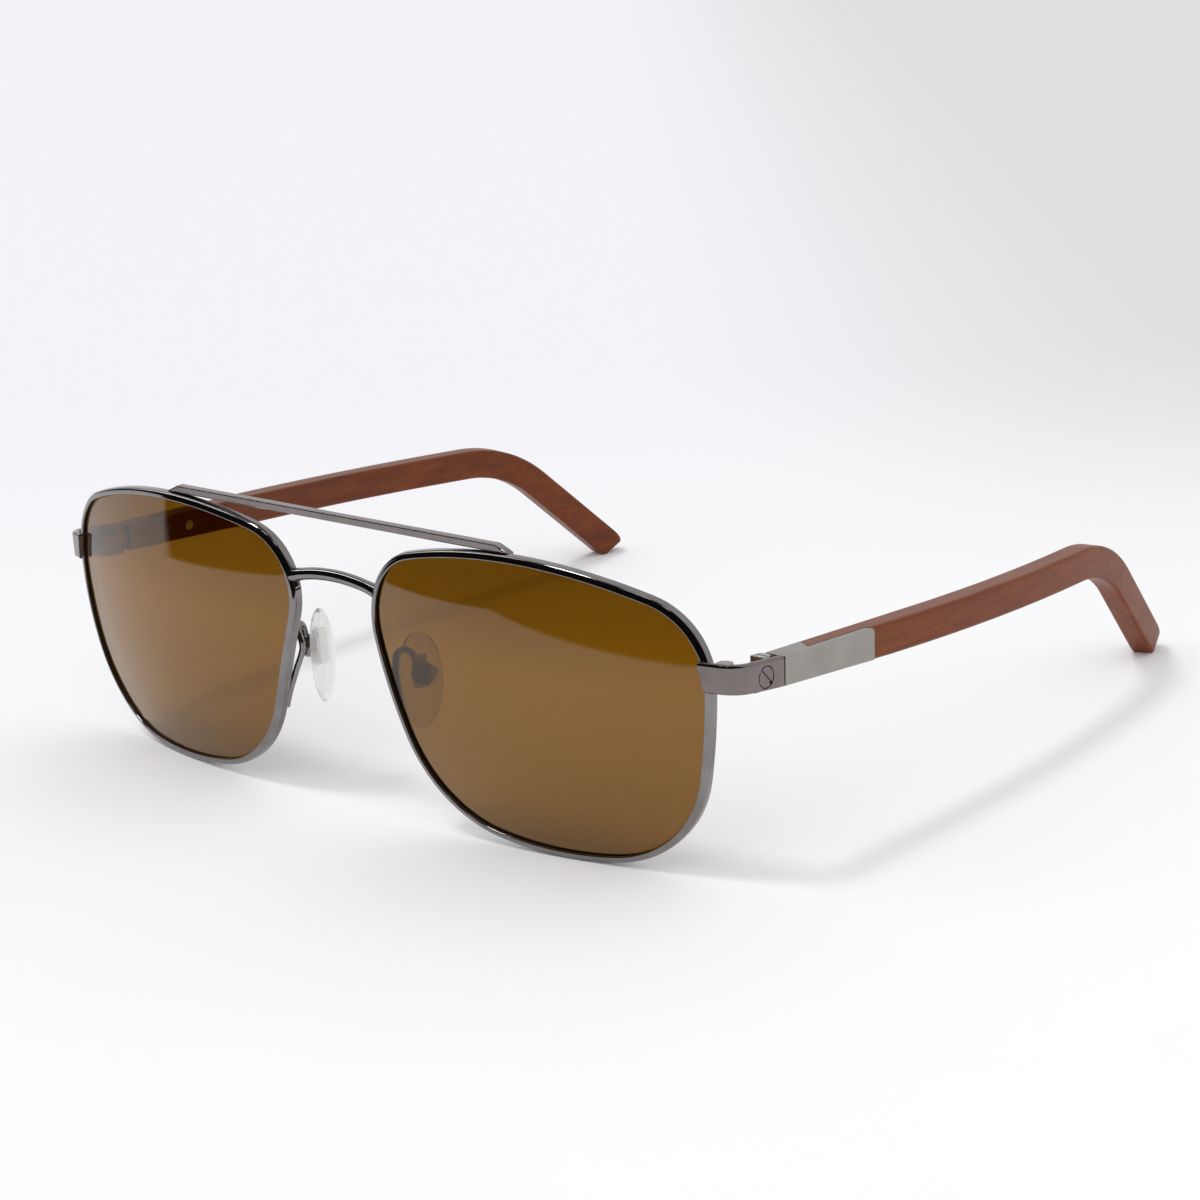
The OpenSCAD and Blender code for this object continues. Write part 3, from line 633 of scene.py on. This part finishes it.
# Metal front
def rim_corner(name, inset, back, start):
    """Quarter round of the rim's section, as insets and depths."""
    r = RIM_ROUND[name]
    inset = r if inset == 0 else inset - r
    back = r if back == 0 else back - r
    turns = [start + 0.5 * pi * k / ROUND_STEPS for k in range(ROUND_STEPS + 1)]
    return [(inset + r * cos(a), back + r * sin(a)) for a in turns]


def rim_shape():
    """Rim with rounded edges and a groove for the lens, swept round the outline."""
    groove = (LENS_SET - LENS_FIT, LENS_SET + LENS_LIP + LENS_FIT)
    section = rim_corner("outer_front", 0, 0, pi)
    section += rim_corner("inner_front", RIM_FACE, 0, 1.5 * pi)
    section += [(RIM_FACE, groove[0]), (RIM_FACE - GROOVE, groove[0])]
    section += [(RIM_FACE - GROOVE, groove[1]), (RIM_FACE, groove[1])]
    section += rim_corner("inner_back", RIM_FACE, RIM_DEPTH, 0)
    section += rim_corner("outer_back", 0, RIM_DEPTH, 0.5 * pi)
    return grid([[on_eye(p, back) for p in outline(inset)] for inset, back in section], closed=True)


def lens_shape():
    """Curved lens: rings from the middle of its front over its stepped edge to the middle of its back."""
    lip, body = outline(RIM_FACE - GROOVE + LENS_FIT), outline(RIM_FACE + LENS_GAP)
    shares = [max(k / LENS_RINGS, SMALLEST) for k in range(LENS_RINGS + 1)]
    front = [[on_eye(s * p, LENS_SET) for p in lip] for s in shares]
    step = [[on_eye(p, LENS_SET + LENS_LIP) for p in line] for line in (lip, body)]
    back = [[on_eye(s * p, LENS_SET + LENS_THICK) for p in body] for s in shares]
    return grid(front + step + back[::-1])


def bridge_shape():
    """Arched wire that flares a little where it is soldered to the rims."""
    radius = (BRIDGE_HALF ** 2 + BRIDGE_RISE ** 2) / (2 * BRIDGE_RISE)
    sweep = asin(BRIDGE_HALF / radius)
    eye = EYE.translation
    centre = Vector((0, eye.y + BRIDGE_BACK, eye.z + BRIDGE_UP + BRIDGE_RISE - radius))
    shares = [k / BRIDGE_STEPS - 1 for k in range(2 * BRIDGE_STEPS + 1)]
    path = [centre + radius * Vector((sin(sweep * s), 0, cos(sweep * s))) for s in shares]
    flares = [max(0, (abs(s) - BRIDGE_FLARE_FROM) / (1 - BRIDGE_FLARE_FROM)) ** 2 for s in shares]
    return tube(path, [BRIDGE_R * (1 + (BRIDGE_FLARE - 1) * f) for f in flares], BRIDGE_SIDES)


def bar_shape():
    """Flat bar across the tops of the rims with tapered ends."""
    top, low, tip = RIM_TOP + BAR_OVER, RIM_TOP + BAR_OVER - BAR_TALL, RIM_TOP + BAR_TIP_TALL
    half, foot = BAR_HALF + BAR_TIP, RIM_TOP - BAR_TALL
    points = [(-half, foot), (-half, tip), (-BAR_HALF, top), (BAR_HALF, top), (half, tip), (half, foot),
              (BAR_HALF, low), (-BAR_HALF, low)]
    front = EYE.translation.y + BAR_BACK
    return slab(points, front, front + BAR_DEEP)


def paint_shade(obj, first, last):
    """Gives some of the bands of faces round the outline the near-black painted shade material."""
    around = len(outline(0))
    obj.data.materials.append(PAINTED_SHADE)
    for face in obj.data.polygons[first * around:last * around]:
        face.material_index = 1


# The rim's inner wall and groove and the lens's stepped edge get painted shade
for rim in pair("rim", rim_shape(), GUNMETAL):
    paint_shade(rim, *RIM_PAINTED_SHADE)
for lens in pair("lens", lens_shape(), LENS):
    paint_shade(lens, *LENS_PAINTED_SHADE)
piece("bridge", bridge_shape(), GUNMETAL)
piece("brow_bar", bar_shape(), SATIN, edge=BAR_EDGE)


# Nose pads
def egg(angle):
    """Outline of a nose pad, wider above."""
    return PAD_HALF[0] * cos(angle) * (1 + PAD_EGG * sin(angle)), PAD_HALF[1] * sin(angle) - PAD_LOW


def circle(angle):
    """Outline of a pad cup, to be drawn out by the radii in its profile."""
    return cos(angle), sin(angle)


def wire_shape():
    """Pad arm: up the back of the rim, then over to the cup."""
    points = []
    for v, inset, gap in WIRE_FOOT:
        u = SIDE_C[NASAL].x - sqrt(SIDE_R[NASAL] ** 2 - (v - SIDE_C[NASAL].y) ** 2) + inset
        points.append(EYE @ Vector((u, sag(u, v, RIM_DEPTH) + gap, v)))
    points += [PAD @ Vector((WIRE_X, across, up)) for across, up in WIRE_OVER]
    path = smooth_path(points, WIRE_STEPS)
    return tube(path, [WIRE_R] * len(path), WIRE_SIDES)


pair("nose_pad", turned(PAD_PROFILE, PAD, egg, PAD_SIDES), SILICONE)
pair("pad_cup", turned(CUP_PROFILE, PAD, circle, CUP_SIDES), GUNMETAL)
pair("pad_arm", wire_shape(), GUNMETAL)


# Small mechanical pieces and temples keep their CAD shapes, with rounded edges
def look(part, side):
    """Material and slot of a piece."""
    looks = {
        "end_piece": (SHADED_END_SATIN, "gunmetal"), "end_screw": (SHADED_END_SATIN, "gunmetal"),
        "hinge_block": (GUNMETAL, "gunmetal"), "lock_upper": (GUNMETAL, "gunmetal"),
        "lock_lower": (GUNMETAL, "gunmetal"), "pad_core": (BRIGHT, "steel"),
        "temple_housing": (PLATE[side], "plate"), "temple_wood": (WOOD[side], "wood")}
    return looks.get(part, (STEEL, "steel"))


for part, width in SOFT_EDGES.items():
    for side in SIDES:
        softened(f"{part}_{side}", *look(part, side), width)
for side in SIDES:
    coil = NODES[f"spring_{side}"].data
    coil.materials.clear()
    coil.materials.append(STEEL)


# Stage
def floor_material():
    """Pale floor with painted shade far behind, darker to the right; for mirror reflections it ends in a dark room
    in front.
    """
    m = Maker("pale_floor")

    def beyond(direction, start, end):
        """0 before a start distance along a direction on the floor and 1 after an end distance."""
        where = m.node("ShaderNodeNewGeometry").outputs["Position"]
        return m.fit(m.along(where, direction), start, end, kind="SMOOTHSTEP")

    near = m.ramp(m.noise((0.05,) * 3), (0.3, (0.955, 0.958, 0.962)), (0.7, (0.965, 0.968, 0.972)))
    # painted shade far behind the object, darker to the right
    across = beyond((cos(VIEW_AZIMUTH), sin(VIEW_AZIMUTH), 0), *FLOOR_ACROSS)
    far = m.ramp(across, (0.0, (0.868, 0.863, 0.895)), (1.0, (0.722, 0.709, 0.718)))
    behind = beyond((-sin(VIEW_AZIMUTH), cos(VIEW_AZIMUTH), 0), *FLOOR_BEHIND)
    m.colour(m.mix("MIX", behind, near, far))
    m.set(Roughness=0.9, Specular_IOR_Level=0.1)
    edges = [beyond(d, at - EDGE_BLUR, at + EDGE_BLUR) for d, at in SHEET_EDGES]
    direction, at = BOARD_EDGE
    short = beyond([-c for c in direction], -at - EDGE_BLUR, -at + EDGE_BLUR)
    dark = m.math("MULTIPLY", m.math("MAXIMUM", *edges), short)
    dark = m.math("MULTIPLY", dark, m.node("ShaderNodeLightPath").outputs["Is Glossy Ray"])
    room = m.node("ShaderNodeEmission")
    m.feed(room.inputs["Color"], ROOM)
    shown = m.either(dark, m.shader.outputs["BSDF"], room.outputs["Emission"])
    m.link(shown, m.tree.nodes["Material Output"].inputs["Surface"])
    return m.material


def make_floor():
    """Wide flat floor, a hair below the object so that the two never share a face."""
    mesh = bpy.data.meshes.new("floor")
    corners = [(x * FLOOR_HALF, y * FLOOR_HALF, FLOOR_LOW) for x, y in ((-1, -1), (1, -1), (1, 1), (-1, 1))]
    mesh.from_pydata(corners, [], [(0, 1, 2, 3)])
    mesh.materials.append(floor_material())
    floor = bpy.data.objects.new("floor", mesh)
    bpy.context.scene.collection.objects.link(floor)


def make_world():
    """Soft light from all round; mirror reflections see a dark room, a pale wall behind and a long lamp above."""
    world = bpy.data.worlds.new("studio")
    bpy.context.scene.world = world
    g = Graph(world)
    coords = g.node("ShaderNodeTexCoord").outputs["Generated"]
    path = g.node("ShaderNodeLightPath").outputs

    def levels(direction, span, stops):
        return g.ramp(g.fit(g.along(coords, direction), *span), *stops)

    def background(colour):
        n = g.node("ShaderNodeBackground")
        g.feed(n.inputs["Color"], colour)
        return n.outputs["Background"]

    lamp = g.mix("MULTIPLY", 1, levels(*LAMP_WIDTH), levels(*LAMP_LENGTH))
    lamp = g.mix("MULTIPLY", 1, lamp, levels(*LAMP_ABOVE))
    mirror = background(g.mix("ADD", 1, levels(*WALL), lamp))
    lit = g.either(path["Is Glossy Ray"], background(SKY), mirror)
    seen = g.math("MAXIMUM", path["Is Camera Ray"], path["Is Transmission Ray"])
    g.link(g.either(seen, lit, background(BACKDROP)), g.tree.nodes["World Output"].inputs["Surface"])


def make_key():
    """Small key light from the front left, for the shadow beside the near temple."""
    lamp = bpy.data.lights.new("key", "SUN")
    lamp.energy = KEY_ENERGY
    lamp.angle = KEY_ANGLE
    key = bpy.data.objects.new("key", lamp)
    key.rotation_euler = KEY_FROM.to_track_quat("Z", "Y").to_euler()
    bpy.context.scene.collection.objects.link(key)


def make_camera():
    """Camera at the photograph's angle."""
    flat = cos(VIEW_ELEVATION)
    back = Vector((sin(VIEW_AZIMUTH) * flat, -cos(VIEW_AZIMUTH) * flat, sin(VIEW_ELEVATION)))
    right = Vector((0, 0, 1)).cross(back).normalized()
    up = back.cross(right)
    turn_right = right * cos(VIEW_ROLL) + up * sin(VIEW_ROLL)
    turn_up = up * cos(VIEW_ROLL) - right * sin(VIEW_ROLL)
    lens = bpy.data.cameras.new("camera")
    lens.sensor_width = SENSOR
    lens.lens = FOCAL_PIXELS * SENSOR / PICTURE_PIXELS
    lens.clip_start = CLIP_START * MM
    camera = bpy.data.objects.new("camera", lens)
    camera.matrix_world = axes((VIEW_TARGET + VIEW_DISTANCE * back) * MM, turn_right, turn_up, back)
    bpy.context.scene.collection.objects.link(camera)
    bpy.context.scene.camera = camera


make_floor()
make_world()
make_key()
make_camera()
bpy.context.scene.view_settings.view_transform = "Standard"
